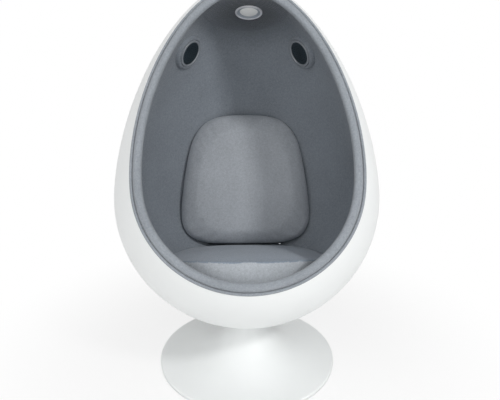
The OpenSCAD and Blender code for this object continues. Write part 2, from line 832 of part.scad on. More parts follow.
// Cone, dust cap and voice coil move together
module speaker_cone(side) {
    color("dimgray") at_speaker(side) rotate_extrude() polygon([
        [cone_r, surround_z], [cone_r, surround_z - cone_t],
        [coil_r, surround_z - cone_depth - cone_t], [coil_r, surround_z - cone_depth]
    ]);
}
cap_t = 0.6;
cap_h = 4;
function cap_point(t, u) = [(coil_r - t) * cos(u), surround_z - cone_depth + (cap_h - t) * sin(u)];
module dust_cap(side) {
    color("dimgray") at_speaker(side) rotate_extrude() polygon(concat(
        [for (u = [90 : -15 : 0]) cap_point(0, u)],
        [for (u = [0 : 15 : 90]) cap_point(cap_t, u)]
    ));
}
coil_reach = 4;
module voice_coil(side) {
    color("goldenrod") at_speaker(side) rotate_extrude()
        translate([coil_r - coil_t, -basket_depth - coil_reach])
            square([coil_t, basket_depth + coil_reach + surround_z - cone_depth]);
}

// Lamp: +Z of its own frame looks down at the sitter, and z = 0 lies on the ceiling
lamp_fall = asin((lamp_y + ceiling_forward) / ceiling_r);
lamp_side = asin(lamp_x / ceiling_r);
module at_lamp() {
    in_dome() rotate([-lamp_fall, 0, 0]) rotate([0, lamp_side, 0])
        translate([0, 0, ceiling_r]) rotate([180, 0, 0]) children();
}
lamp_step = 7;
lamp_bore_room = 0.5;
lamp_bore_r = lamp_r - lamp_step + lamp_bore_room;
lamp_bore_depth = 30;
module lamp_bore() {
    translate([0, 0, -lamp_bore_depth]) cylinder(r = lamp_bore_r, h = 2 * lamp_bore_depth);
}

// Lamp bezel: a stepped ring with a rounded edge, standing on the curve of the ceiling
lamp_bezel_t = 4.5;
lamp_bezel_dip = 1;
lamp_sit = ceiling_r - sqrt(ceiling_r * ceiling_r - lamp_r * lamp_r) + glue;
lamp_face = lamp_sit + lamp_bezel_t;
module lamp_bezel() {
    color("silver") at_lamp() rotate_extrude() polygon(concat(
        [[lamp_r - lamp_step, lamp_sit], [lamp_r, lamp_sit]],
        [for (u = [0 : 15 : 90])
            [lamp_r - lamp_step / 2 * (1 - cos(u)), lamp_face - lamp_bezel_t / 2 * (1 - sin(u))]],
        [[lamp_r - lamp_step, lamp_face - lamp_bezel_dip]]
    ));
}

// Sloping ring between the bezel and the lens
module lamp_inner_ring() {
    color("gray") at_lamp() rotate_extrude() polygon([
        [lens_r + glue, 0], [lamp_r - lamp_step - glue, 0],
        [lamp_r - lamp_step - glue, lamp_face - 2 * lamp_bezel_dip], [lens_r + glue, lamp_sit]
    ]);
}

// Domed lens
lens_h = 6;
lens_t = 2;
module lamp_lens() {
    color("white") at_lamp() rotate_extrude() polygon(concat(
        [for (u = [90 : -10 : 0]) [lens_r * cos(u), lens_h * sin(u)]],
        [for (u = [0 : 10 : 90]) [(lens_r - lens_t) * cos(u), (lens_h - lens_t) * sin(u)]]
    ));
}

// Circuit board with its light-emitting diodes
board_t = 1.6;
board_z = -4;
diode_r = 2;
diode_t = 1.2;
diode_count = 8;
diode_ring_share = 0.6;
module lamp_board() {
    color("green") at_lamp() translate([0, 0, board_z - board_t]) cylinder(r = lens_r, h = board_t);
}
module lamp_diodes() {
    color("khaki") at_lamp() for (i = [0 : diode_count - 1]) rotate([0, 0, 360 * i / diode_count])
        translate([lens_r * diode_ring_share, 0, board_z]) cylinder(r = diode_r, h = diode_t, $fn = 24);
}

// Housing: a cup behind the board with cooling fins
housing_t = 2;
housing_h = 16;
fin_count = 9;
fin_h = 6;
fin_t = 2;
module lamp_housing() {
    color("silver") at_lamp() {
        rotate_extrude() polygon([
            [0, board_z - board_t - glue], [lens_r + glue, board_z - board_t - glue], [lens_r + glue, -glue],
            [lens_r + glue + housing_t, -glue], [lens_r + glue + housing_t, -housing_h], [0, -housing_h]
        ]);
        intersection() {
            translate([0, 0, -housing_h - fin_h])
                cylinder(r = lens_r + glue + housing_t, h = fin_h + overrun);
            for (i = [0 : fin_count - 1]) translate([
                -lens_r + (2 * lens_r - fin_t) * i / (fin_count - 1), -cut_size / 2, -housing_h - fin_h
            ]) cube([fin_t, cut_size, fin_h + overrun]);
        }
    }
}

// Two hairpin springs between the lamp and the wall of its bore
clip_arm_w = 10;
clip_arm_t = 1;
clip_arm_h = 14;
clip_arm_top = 4;
clip_in = lens_r + housing_t + 2 * glue;
clip_out = lamp_bore_r - glue;
module lamp_clips() {
    color("silver") at_lamp() for (side = [0, 1]) mirror([side, 0, 0])
        rotate([90, 0, 0]) linear_extrude(clip_arm_w, center = true) polygon([
            [clip_in, -glue], [clip_in + clip_arm_t, -glue],
            [clip_in + clip_arm_t, 2 * clip_arm_t - clip_arm_h],
            [clip_out - clip_arm_t, -clip_arm_top], [clip_out, -clip_arm_top],
            [clip_in + clip_arm_t, -clip_arm_h], [clip_in, -clip_arm_h]
        ]);
}

base_shell();
foot_ring();
base_plate();
column();
column_bolts();
lower_bush();
upper_bush();
bearing_lower_race();
bearing_balls();
bearing_cage();
bearing_upper_race();
spindle();
spindle_clip();
mount_boss();
mount_bolts();
backing_block();
outer_shell();
lining_foam();
lining_fabric();
ceiling_fabric();
rim_welt();
rim_roll();
seat_plinth();
seat_cushion();
seat_zip();
back_cushion();
back_zip();
zip_slider();
amplifier();
power_inlet();
speaker_pad(-1);  // left_speaker_pad
speaker_bezel(-1);  // left_speaker_bezel
speaker_grille(-1);  // left_speaker_grille
speaker_basket(-1);  // left_speaker_basket
speaker_magnet(-1);  // left_speaker_magnet
speaker_surround(-1);  // left_speaker_surround
speaker_cone(-1);  // left_speaker_cone
dust_cap(-1);  // left_dust_cap
voice_coil(-1);  // left_voice_coil
speaker_screws(-1);  // left_speaker_screws
speaker_pad(1);  // right_speaker_pad
speaker_bezel(1);  // right_speaker_bezel
speaker_grille(1);  // right_speaker_grille
speaker_basket(1);  // right_speaker_basket
speaker_magnet(1);  // right_speaker_magnet
speaker_surround(1);  // right_speaker_surround
speaker_cone(1);  // right_speaker_cone
dust_cap(1);  // right_dust_cap
voice_coil(1);  // right_voice_coil
speaker_screws(1);  // right_speaker_screws
lamp_bezel();
lamp_inner_ring();
lamp_lens();
lamp_board();
lamp_diodes();
lamp_housing();
lamp_clips();
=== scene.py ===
"""Pod chair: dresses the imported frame. Metres, +Z up, the sitter faces -Y."""
import math

import bmesh
import bpy
import numpy as np
from mathutils import Matrix, Vector, noise


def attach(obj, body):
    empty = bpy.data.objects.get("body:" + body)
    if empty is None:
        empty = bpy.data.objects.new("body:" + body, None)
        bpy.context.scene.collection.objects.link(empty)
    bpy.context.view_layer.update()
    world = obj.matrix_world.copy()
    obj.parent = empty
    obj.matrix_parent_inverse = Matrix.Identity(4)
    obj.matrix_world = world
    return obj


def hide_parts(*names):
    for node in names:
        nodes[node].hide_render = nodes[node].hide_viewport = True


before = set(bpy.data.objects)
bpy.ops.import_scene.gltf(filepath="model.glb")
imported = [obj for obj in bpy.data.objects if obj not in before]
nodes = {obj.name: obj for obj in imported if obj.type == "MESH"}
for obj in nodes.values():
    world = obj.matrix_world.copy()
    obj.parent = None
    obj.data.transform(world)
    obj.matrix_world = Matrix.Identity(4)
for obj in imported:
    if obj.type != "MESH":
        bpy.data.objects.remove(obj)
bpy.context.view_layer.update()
scene = bpy.context.scene

TAU = 2 * math.pi
POD, BASE = "pod", "base"

# Sizes shared with the part's source, in metres
EGG_R, EGG_LOW, EGG_HIGH = 0.430, 0.424, 0.721
EGG_Y, EGG_Z = 0.045, 0.583
LEAN = math.radians(18.6)
LOW_SHARE, HIGH_SHARE = 2.0, 1.72
REACH, TILT = 0.2665, math.radians(12.8)
RING_START = 0.110
SHELL_T = 0.005
LINING_D = 0.027
WELT_W, WELT_H, ROLL_H, TRIM_GAP = 0.007, 0.005, 0.013, 0.0005
GLUE = 0.0003
DOME_R, DOME_H, DOME_Y = 0.600, 0.6436, -0.045
DOME_Z = DOME_H - DOME_R
SPEAKER_Z, SPEAKER_TURN = 0.519, math.radians(30)
SPEAKER_AIM, SPEAKER_DOWN, SPEAKER_PROUD = math.radians(24.5), math.radians(31.5), 0.010
BEZEL_R = 0.050
LAMP_X, LAMP_Y, LAMP_R = 0.012, 0.046, 0.0465
BASE_R, NECK_R, NECK_H, BASE_T, LIP_H, FLARE = 0.307, 0.048, 0.147, 0.004, 0.009, 3.0
FOOT_T, FOOT_INSET = 0.004, 0.003
CUSHION_GAP = 0.0006

TO_EGG = Matrix.Translation((0, EGG_Y, EGG_Z)) @ Matrix.Rotation(-LEAN, 4, "X")
TO_OPENING = TO_EGG @ Matrix.Rotation(math.radians(90) - TILT, 4, "X") @ Matrix.Translation((0, 0, REACH))
OPEN_CO = TO_OPENING @ Vector((0, 0, 0))
OPEN_NO = (TO_OPENING.to_3x3() @ Vector((0, 0, 1))).normalized()
LAMP_FALL = math.asin((LAMP_Y - DOME_Y) / DOME_R)
LAMP = (TO_EGG @ Matrix.Translation((0, DOME_Y, DOME_Z)) @ Matrix.Rotation(-LAMP_FALL, 4, "X")
        @ Matrix.Rotation(math.asin(LAMP_X / DOME_R), 4, "Y") @ Matrix.Translation((0, 0, DOME_R))
        @ Matrix.Rotation(math.pi, 4, "X"))

# Mesh counts and the distance within which points are one
EGG_STEPS, EGG_TURNS = 220, 224
EDGE_TURNS, BASE_STEPS, BASE_TURNS = 240, 90, 192
LINING_TURNS, WALL_STEPS, CEILING_STEPS = 288, 190, 50
CUSHION_TURNS, VOXEL = 200, 0.005
WELD = 1e-6


# Shapes
def meridian(u, d):
    """Radius and height of the egg at depth d; u runs from -90 to 90 degrees, in radians."""
    share, reach = (LOW_SHARE, EGG_LOW) if u < 0 else (HIGH_SHARE, EGG_HIGH)
    c, s = max(math.cos(u), 0.0), abs(math.sin(u))
    z = (reach - d) * s ** (2 / share)
    return (EGG_R - d) * c ** (2 / share), -z if u < 0 else z


def egg_radius(z, d):
    share, reach = (LOW_SHARE, EGG_LOW) if z < 0 else (HIGH_SHARE, EGG_HIGH)
    t = abs(z) / (reach - d)
    return 0.0 if t >= 1 else (EGG_R - d) * (1 - t ** share) ** (1 / share)


def inside(p, gap=CUSHION_GAP):
    """The point, moved in until it lies within the lining by gap; the egg's own axes."""
    r = math.hypot(p[0], p[1])
    limit = egg_radius(p[2], LINING_D) - gap
    if r > limit:
        return Vector((p[0] * limit / r, p[1] * limit / r, p[2]))
    return Vector(p)


def ring_y(rho, a):
    """Place up the opening plane of the point that lies rho from the ring's start in direction a."""
    return RING_START + rho * math.sin(a)


def ring_r(a, d):
    """Distance in the opening plane from the ring's start to the egg at depth d, in direction a."""
    low, high = 0.0, 1.5
    for _ in range(36):
        mid = (low + high) / 2
        y = ring_y(mid, a) * math.sin(TILT) - REACH * math.cos(TILT)
        z = ring_y(mid, a) * math.cos(TILT) + REACH * math.sin(TILT)
        if math.hypot(mid * math.cos(a), y) < egg_radius(z, d):
            low = mid
        else:
            high = mid
    return (low + high) / 2


def on_opening(rho, a, h=0.0):
    """Point at height h over the opening plane."""
    return TO_OPENING @ Vector((rho * math.cos(a), ring_y(rho, a), h))


def new_mesh(name, verts, faces, uvs=None, smooth=True):
    mesh = bpy.data.meshes.new(name)
    mesh.from_pydata([tuple(v) for v in verts], [], faces)
    if uvs:
        layer = mesh.uv_layers.new(name="UVMap")
        for loop in mesh.loops:
            layer.data[loop.index].uv = uvs[loop.vertex_index]
    mesh.polygons.foreach_set("use_smooth", [smooth] * len(mesh.polygons))
    mesh.update()
    obj = bpy.data.objects.new(name, mesh)
    scene.collection.objects.link(obj)
    return obj


def edit_mesh(obj, *changes):
    bm = bmesh.new()
    bm.from_mesh(obj.data)
    for change in changes:
        change(bm)
    bm.to_mesh(obj.data)
    bm.free()


def weld(bm):
    bmesh.ops.remove_doubles(bm, verts=bm.verts, dist=WELD)


def face_out(bm):
    bmesh.ops.recalc_face_normals(bm, faces=bm.faces)


def face_back(bm):
    bmesh.ops.reverse_faces(bm, faces=bm.faces)


def cut_open(bm):
    """Takes away what lies in front of the opening plane."""
    bmesh.ops.bisect_plane(bm, geom=bm.verts[:] + bm.edges[:] + bm.faces[:], dist=WELD,
                           plane_co=OPEN_CO, plane_no=OPEN_NO, clear_outer=True)


def grid(rows, closed=False):
    """Vertices and faces over rings of points; closed joins the last ring to the first."""
    n, m = len(rows[0]), len(rows)
    verts = [p for row in rows for p in row]
    faces = []
    for i in range(m if closed else m - 1):
        h = (i + 1) % m
        for j in range(n):
            k = (j + 1) % n
            faces.append((i * n + j, i * n + k, h * n + k, h * n + j))
    return verts, faces


def revolve(name, profile, matrix, steps):
    """Surface of revolution of (radius, height) points, closed where the profile is closed."""
    turns = [TAU * j / steps for j in range(steps)]
    rows = [[matrix @ Vector((r * math.cos(a), r * math.sin(a), z)) for a in turns] for r, z in profile]
    verts, faces = grid(rows)
    obj = new_mesh(name, verts, faces)
    edit_mesh(obj, weld, face_out)
    return obj


UV_ROUND = 0.8


def egg_uv(obj):
    """UVs in metres: round the egg, at a mean radius, and along its axis."""
    inverse = TO_EGG.inverted()
    layer = obj.data.uv_layers.new(name="UVMap")
    points = [inverse @ v.co for v in obj.data.vertices]
    for poly in obj.data.polygons:
        corners = [points[obj.data.loops[index].vertex_index] for index in poly.loop_indices]
        angles = [math.atan2(p.x, p.y) for p in corners]
        wrap = max(angles) - min(angles) > math.pi
        for index, p, a in zip(poly.loop_indices, corners, angles):
            if wrap and a < 0:
                a += TAU
            layer.data[index].uv = (a * EGG_R * UV_ROUND, p.z)


# Materials
def material(name):
    mat = bpy.data.materials.new(name)
    mat.use_nodes = True
    tree = mat.node_tree
    shader = tree.nodes["Principled BSDF"]
    return mat, tree, shader


def link(tree, a, b):
    tree.links.new(a, b)


def ramp(tree, source, stops):
    """Colour ramp with a stop at its first and one at its last place."""
    r = tree.nodes.new("ShaderNodeValToRGB")
    for element, (place_on_ramp, colour) in zip(r.color_ramp.elements, stops):
        element.position = place_on_ramp
        element.color = (*colour, 1)
    link(tree, source, r.inputs["Fac"])
    return r.outputs["Color"]


def noise_node(tree, vector, scale, detail, rough):
    n = tree.nodes.new("ShaderNodeTexNoise")
    n.inputs["Scale"].default_value = scale
    n.inputs["Detail"].default_value = detail
    n.inputs["Roughness"].default_value = rough
    link(tree, vector, n.inputs["Vector"])
    return n.outputs["Fac"]


def math_node(tree, operation, a, b=None):
    n = tree.nodes.new("ShaderNodeMath")
    n.operation = operation
    for socket, value in zip(n.inputs, (a, b)):
        if value is None:
            continue
        if isinstance(value, (int, float)):
            socket.default_value = value
        else:
            link(tree, value, socket)
    return n.outputs[0]


def range_node(tree, value, low, high, start=0.0, end=1.0, smooth=False):
    """Maps value from start..end to low..high."""
    n = tree.nodes.new("ShaderNodeMapRange")
    if smooth:
        n.interpolation_type = "SMOOTHSTEP"
    for socket, number in (("From Min", start), ("From Max", end), ("To Min", low), ("To Max", high)):
        n.inputs[socket].default_value = number
    link(tree, value, n.inputs["Value"])
    return n.outputs["Result"]


def bump(tree, shader, height, strength, distance, chain=None):
    n = tree.nodes.new("ShaderNodeBump")
    n.inputs["Strength"].default_value = strength
    n.inputs["Distance"].default_value = distance
    link(tree, height, n.inputs["Height"])
    if chain is not None:
        link(tree, chain, n.inputs["Normal"])
    link(tree, n.outputs["Normal"], shader.inputs["Normal"])
    return n.outputs["Normal"]


def paint_shade_round(tree, colour, where, point, near, far, share):
    """Painted shade: colour times share within near of a point, rising to the full colour at far."""
    gap = tree.nodes.new("ShaderNodeVectorMath")
    gap.operation = "DISTANCE"
    link(tree, where, gap.inputs[0])
    gap.inputs[1].default_value = point
    product = tree.nodes.new("ShaderNodeVectorMath")
    product.operation = "SCALE"
    link(tree, colour, product.inputs[0])
    rise = range_node(tree, gap.outputs["Value"], share, 1.0, near, far, smooth=True)
    link(tree, rise, product.inputs["Scale"])
    return product.outputs["Vector"]


def fabric(name, dark, light, coords="UV", turn=(0, 0, 0), pitch=0.0016, painted_shade=None):
    """Plain weave with thread relief, melange yarn and slow tone changes; dark and light are linear.
    Its last argument paints shade into the cloth round a point: (point, near, far, share)."""
    mat, tree, shader = material(name)
    tc = tree.nodes.new("ShaderNodeTexCoord")
    mapping = tree.nodes.new("ShaderNodeMapping")
    mapping.inputs["Rotation"].default_value = turn
    link(tree, tc.outputs[coords], mapping.inputs["Vector"])
    split = tree.nodes.new("ShaderNodeSeparateXYZ")
    link(tree, mapping.outputs["Vector"], split.inputs["Vector"])
    waves = TAU / (2 * pitch)
    warp = math_node(tree, "SINE", math_node(tree, "MULTIPLY", split.outputs["X"], waves))
    weft = math_node(tree, "SINE", math_node(tree, "MULTIPLY", split.outputs["Y"], waves))
    threads = math_node(tree, "ABSOLUTE", math_node(tree, "MULTIPLY", warp, weft))
    spot = tc.outputs["Object"]
    melange = noise_node(tree, spot, 420, 3, 0.7)
    slubs = noise_node(tree, spot, 150, 2, 0.6)
    slow = noise_node(tree, spot, 7, 3, 0.5)
    tone = math_node(tree, "MULTIPLY", melange, 0.5)
    for source, weight in ((slubs, 0.32), (slow, 0.18), (threads, 0.10)):
        tone = math_node(tree, "ADD", tone, math_node(tree, "MULTIPLY", source, weight))
    colour = ramp(tree, tone, [(0.32, dark), (0.72, light)])
    # Painted shade: the cloth darkened round a point
    if painted_shade:
        colour = paint_shade_round(tree, colour, spot, *painted_shade)
    link(tree, colour, shader.inputs["Base Color"])
    shader.inputs["Roughness"].default_value = 0.9
    shader.inputs["Specular IOR Level"].default_value = 0.2
    shader.inputs["Sheen Weight"].default_value = 0.25
    shader.inputs["Sheen Roughness"].default_value = 0.45
    fine = bump(tree, shader, threads, 0.5, 0.0004)
    bump(tree, shader, slow, 0.25, 0.004, fine)
    return mat


def paint(name, colour, rough, metallic=0.0, coat=0.0, peel=0.0, grain=0.04, grain_scale=30, scratch=0.0,
          shine=0.5):
    """Paint, plastic or metal with faint changes of tone and gloss."""
    mat, tree, shader = material(name)
    spot = tree.nodes.new("ShaderNodeTexCoord").outputs["Object"]
    slow = noise_node(tree, spot, grain_scale, 3, 0.6)
    low = tuple(max(0.0, c * (1 - grain)) for c in colour)
    high = tuple(min(1.0, c * (1 + grain)) for c in colour)
    link(tree, ramp(tree, slow, [(0.3, low), (0.7, high)]), shader.inputs["Base Color"])
    gloss = noise_node(tree, spot, grain_scale * 3, 2, 0.5)
    link(tree, range_node(tree, gloss, rough * 0.85, min(1.0, rough * 1.2)), shader.inputs["Roughness"])
    shader.inputs["Metallic"].default_value = metallic
    shader.inputs["Specular IOR Level"].default_value = shine
    shader.inputs["Coat Weight"].default_value = coat
    shader.inputs["Coat Roughness"].default_value = 0.22
    if peel:
        bump(tree, shader, noise_node(tree, spot, 90, 2, 0.5), peel, 0.0008)
    if scratch:
        stretched = tree.nodes.new("ShaderNodeMapping")
        stretched.inputs["Scale"].default_value = (60, 60, 2000)
        link(tree, spot, stretched.inputs["Vector"])
        bump(tree, shader, noise_node(tree, stretched.outputs["Vector"], 1.0, 2, 0.6), scratch, 0.0003)
    return mat


def lens_material():
    mat, tree, shader = material("lamp_lens")
    fine = noise_node(tree, tree.nodes.new("ShaderNodeTexCoord").outputs["Object"], 300, 2, 0.5)
    tones = ramp(tree, fine, [(0.3, (0.88, 0.89, 0.88)), (0.7, (0.95, 0.96, 0.95))])
    link(tree, tones, shader.inputs["Base Color"])
    shader.inputs["Roughness"].default_value = 0.28
    shader.inputs["Transmission Weight"].default_value = 0.08
    shader.inputs["Coat Weight"].default_value = 0.4
    shader.inputs["Emission Color"].default_value = (1.0, 1.0, 0.97, 1)
    shader.inputs["Emission Strength"].default_value = 0.08
    bump(tree, shader, fine, 0.15, 0.0004)
    return mat


# Darkest and lightest yarn of each cloth, and the painted shade round the lamp
LINING = ((0.172, 0.190, 0.211), (0.323, 0.356, 0.398))
CUSHION = ((0.303, 0.320, 0.344), (0.536, 0.568, 0.609))
# The seat's top: the seat cloth darker and bluer, painted shade on the faces that look up
SEAT_TOP_PAINTED_SHADE = ((0.177, 0.209, 0.250), (0.312, 0.368, 0.441))
SEAT_SIDE = ((0.288, 0.307, 0.330), (0.507, 0.543, 0.581))
RIM = ((0.193, 0.209, 0.229), (0.346, 0.376, 0.412))
ZIP_TAPE = ((0.012, 0.013, 0.015), (0.03, 0.032, 0.036))
# Painted shade round the lamp on the lining and ceiling: 0.44 of the cloth's tone within 5 cm, the full tone
# from 21 cm
PAINTED_SHADE_ROUND_LAMP = (LAMP @ Vector((0, 0, 0)), 0.05, 0.21, 0.44)
UPRIGHT = (math.radians(90), 0, 0)
BLACK = (0.012, 0.012, 0.013)

MATS = {
    "white": paint("white_gloss", (0.86, 0.878, 0.876), 0.40, peel=0.04, grain=0.012, grain_scale=6,
                   shine=0.28),
    "white_matt": paint("white_matt", (0.86, 0.87, 0.87), 0.45, grain=0.02),
    "rubber": paint("black_rubber", (0.02, 0.02, 0.021), 0.8, peel=0.2, grain=0.2),
    "dark_steel": paint("dark_steel", (0.03, 0.032, 0.035), 0.5, peel=0.1),
    "steel": paint("bright_steel", (0.55, 0.56, 0.57), 0.3, metallic=1.0, scratch=0.15),
    "bush": paint("bush_plastic", (0.62, 0.58, 0.48), 0.5),
    "brass": paint("cage_brass", (0.60, 0.42, 0.14), 0.3, metallic=1.0),
    "alloy": paint("cast_alloy", (0.50, 0.51, 0.52), 0.45, metallic=1.0, peel=0.3),
    "foam": paint("foam", (0.20, 0.21, 0.23), 0.95, peel=0.8, grain=0.15, grain_scale=200),
    "case": paint("amplifier_case", BLACK, 0.5, peel=0.2),
    "black": paint("black_plastic", BLACK, 0.45, peel=0.1),
    "grille": paint("grille_steel", (0.017, 0.029, 0.038), 0.45, grain=0.2),
    "cone": paint("cone_plastic", BLACK, 0.6, peel=0.3),
    "bezel": paint("bezel_plastic", (0.28, 0.30, 0.325), 0.24, coat=0.5, peel=0.03),
    "magnet": paint("magnet", (0.12, 0.12, 0.13), 0.4, metallic=0.6),
    "coil": paint("coil_copper", (0.55, 0.25, 0.10), 0.35, metallic=1.0),
    "board": paint("board", (0.01, 0.09, 0.03), 0.4),
    "diode": paint("diode", (0.85, 0.72, 0.25), 0.2),
    "tape": fabric("zip_tape", *ZIP_TAPE, coords="Object", pitch=0.0008),
    "chrome": paint("zip_chrome", (0.80, 0.81, 0.83), 0.12, metallic=1.0),
    "lamp_metal": paint("lamp_metal", (0.84, 0.85, 0.89), 0.30, coat=0.4, scratch=0.03),
    "lamp_inner": paint("lamp_inner", (0.44, 0.48, 0.53), 0.35, coat=0.3),
    # The lining cloth, with painted shade round the lamp
    "lining": fabric("lining_fabric", *LINING, painted_shade=PAINTED_SHADE_ROUND_LAMP),
    "pad": fabric("pad_fabric", *LINING, coords="Object"),
    "rim": fabric("rim_fabric", *RIM),
    # Painted shade: the seat's top is a darker copy of the seat cloth
    "seat_top_painted_shade": fabric("seat_top_painted_shade_fabric", *SEAT_TOP_PAINTED_SHADE, coords="Object"),
    "seat_side": fabric("seat_side_fabric", *SEAT_SIDE, coords="Object", turn=UPRIGHT),
    "back": fabric("back_fabric", *CUSHION, coords="Object", turn=UPRIGHT),
    "lens": lens_material(),
}


def dress(obj, mat):
    obj.data.materials.clear()
    obj.data.materials.append(mat)


def dress_node(name, mat):
    """A CAD node keeps its mesh and gets a material in its own slots."""
    obj = nodes[name]
    for slot in obj.material_slots:
        slot.material = mat
    if not obj.material_slots:
        obj.data.materials.append(mat)


def place(obj, mat, body, replaced):
    """Dresses a new piece and hands it over in place of one CAD node."""
    dress(obj, mat)
    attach(obj, body)
    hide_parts(replaced)
    return obj


# Camera: its distance and height, and its lens in pixels of the picture
PITCH, ORBIT = math.radians(18.89), math.radians(1.2)
CAM_D, CAM_H = 1.64085, 1.15273
PICTURE_W, LENS, SHIFT = 500, 533.09, 3.0
SENSOR = 36


def studio_camera():
    camera = bpy.data.objects.new("camera", bpy.data.cameras.new("camera"))
    scene.collection.objects.link(camera)
    camera.location = (-CAM_D * math.sin(ORBIT), -CAM_D * math.cos(ORBIT), CAM_H)
    camera.rotation_euler = (math.radians(90) - PITCH, 0, -ORBIT)
    camera.data.sensor_width = SENSOR
    camera.data.lens = LENS * SENSOR / PICTURE_W
    camera.data.shift_x = SHIFT / PICTURE_W
    scene.camera = camera
    scene.view_settings.view_transform = "Standard"


# Light: the world's strength on the object, and the lamps, which all aim at the cabin
WORLD_LIGHT = 0.43
LAMP_AIM, LAMP_DISTANCE = Vector((0, 0.15, 0.65)), 3.2
LAMPS = (
    ("key", 35.5, 33.5, 0.44, 33),
    ("front", 0, 20, 2.0, 13),
    ("low", 4, 4, 1.5, 8),
    ("left", -42, 30, 2.0, 18),
    ("over", -15, 64, 2.4, 6),
)
WHITE = (1, 1, 1, 1)


def seen_directly(tree):
    """1 for the camera's own rays and for those in reflections and glass, else 0."""
    rays = tree.nodes.new("ShaderNodeLightPath").outputs
    seen = math_node(tree, "MAXIMUM", rays["Is Camera Ray"], rays["Is Glossy Ray"])
    return math_node(tree, "MAXIMUM", seen, rays["Is Transmission Ray"])


def studio_world():
    world = bpy.data.worlds.new("studio")
    scene.world = world
    world.use_nodes = True
    tree = world.node_tree
    background = tree.nodes["Background"]
    background.inputs["Color"].default_value = WHITE
    strength = range_node(tree, seen_directly(tree), WORLD_LIGHT, 1.0)
    link(tree, strength, background.inputs["Strength"])


def disc_lamp(name, side, height, size, watts):
    """Disc lamp so many degrees to the right of the front and above level."""
    side, height = math.radians(side), math.radians(height)
    away = Vector((math.sin(side) * math.cos(height), -math.cos(side) * math.cos(height), math.sin(height)))
    lamp = bpy.data.lights.new(name, "AREA")
    lamp.shape = "DISK"
    lamp.size = size
    lamp.energy = watts
    obj = bpy.data.objects.new(name, lamp)
    scene.collection.objects.link(obj)
    obj.location = LAMP_AIM + away * LAMP_DISTANCE
    obj.rotation_euler = (LAMP_AIM - obj.location).to_track_quat("-Z", "Y").to_euler()


# Floor: white where it is seen, but near the chair it keeps a share of the shadow
FLOOR_HALF, FLOOR_TONE = 30, (0.9, 0.9, 0.9, 1)
SHADOW_NEAR, SHADOW_FAR, SHADOW_WHITE = 0.35, 1.1, 0.72


def studio_floor():
    corners = [(-FLOOR_HALF, -FLOOR_HALF, 0), (FLOOR_HALF, -FLOOR_HALF, 0),
               (FLOOR_HALF, FLOOR_HALF, 0), (-FLOOR_HALF, FLOOR_HALF, 0)]
    floor = new_mesh("floor", corners, [(0, 1, 2, 3)], smooth=False)
    mat, tree, shader = material("floor")
    shader.inputs["Base Color"].default_value = FLOOR_TONE
    shader.inputs["Roughness"].default_value = 0.9
    glow = tree.nodes.new("ShaderNodeEmission")
    glow.inputs["Color"].default_value = WHITE
    reach = tree.nodes.new("ShaderNodeVectorMath")
    reach.operation = "LENGTH"
    link(tree, tree.nodes.new("ShaderNodeTexCoord").outputs["Object"], reach.inputs[0])
    fade = range_node(tree, reach.outputs["Value"], SHADOW_WHITE, 1.0, SHADOW_NEAR, SHADOW_FAR, smooth=True)
    mix = tree.nodes.new("ShaderNodeMixShader")
    link(tree, math_node(tree, "MULTIPLY", seen_directly(tree), fade), mix.inputs["Fac"])
    link(tree, shader.outputs["BSDF"], mix.inputs[1])
    link(tree, glow.outputs["Emission"], mix.inputs[2])
    link(tree, mix.outputs["Shader"], tree.nodes["Material Output"].inputs["Surface"])
    dress(floor, mat)


studio_camera()
studio_world()
for row in LAMPS:
    disc_lamp(*row)
studio_floor()


# Shell and base
def egg_surface(name, d):
    profile = [meridian(math.radians(-90 + 180 * i / EGG_STEPS), d) for i in range(EGG_STEPS + 1)]
    obj = revolve(name, profile, TO_EGG, EGG_TURNS)
    edit_mesh(obj, cut_open)
    return obj


def join(objs, name):
    """One object from several."""
    bm = bmesh.new()
    for obj in objs:
        bm.from_mesh(obj.data)
    mesh = bpy.data.meshes.new(name)
    bm.to_mesh(mesh)
    bm.free()
    for obj in objs:
        bpy.data.objects.remove(obj)
    joined = bpy.data.objects.new(name, mesh)
    scene.collection.objects.link(joined)
    return joined


def shell():
    outer = egg_surface("shell_outer", 0)
    inner = egg_surface("shell_inner", SHELL_T)
    edit_mesh(inner, face_back)
    turns = [TAU * j / EDGE_TURNS for j in range(EDGE_TURNS)]
    verts, faces = grid([[on_opening(ring_r(a, d), a) for a in turns] for d in (0, SHELL_T)])
    edge = new_mesh("shell_edge", verts, faces)
    obj = join([outer, inner, edge], "shell_skin")
    place(obj, MATS["white"], POD, "outer_shell")


SKIRT_Z, SKIRT_LIP, NECK_ROUND = 0.0012, 0.001, 0.0012


def trumpet():
    """The base's shell: lip, flare, neck and underside, with a skirt that hides the edge of the foot ring."""
    low = FOOT_T + GLUE
    top = low + LIP_H
    half = LIP_H / 2
    start = BASE_R - half

    def flare(share):
        """Radius and height at a share of the way from the lip to the neck."""
        r = start + (NECK_R - start) * share
        return r, top + (NECK_H - top) * ((BASE_R - r) / (BASE_R - NECK_R)) ** FLARE

    skirt_r = BASE_R - FOOT_INSET + GLUE
    profile = [(BASE_R - LIP_H, low), (skirt_r, low), (skirt_r, SKIRT_Z), (BASE_R - SKIRT_LIP, SKIRT_Z)]
    profile += [(start + half * math.cos(u), low + half + half * math.sin(u))
                for u in (math.radians(15 * i) for i in range(6))]
    upper = [flare(i / BASE_STEPS) for i in range(BASE_STEPS + 1)]
    profile += upper
    profile += [(NECK_R - NECK_ROUND, NECK_H), (NECK_R - BASE_T, NECK_H)]
    profile += [(r - BASE_T, z - BASE_T) for r, z in upper[-2:0:-1]]
    profile += [(BASE_R - LIP_H, low)]
    obj = revolve("base_skin", profile, Matrix(), BASE_TURNS)
    place(obj, MATS["white"], BASE, "base_shell")


shell()
trumpet()


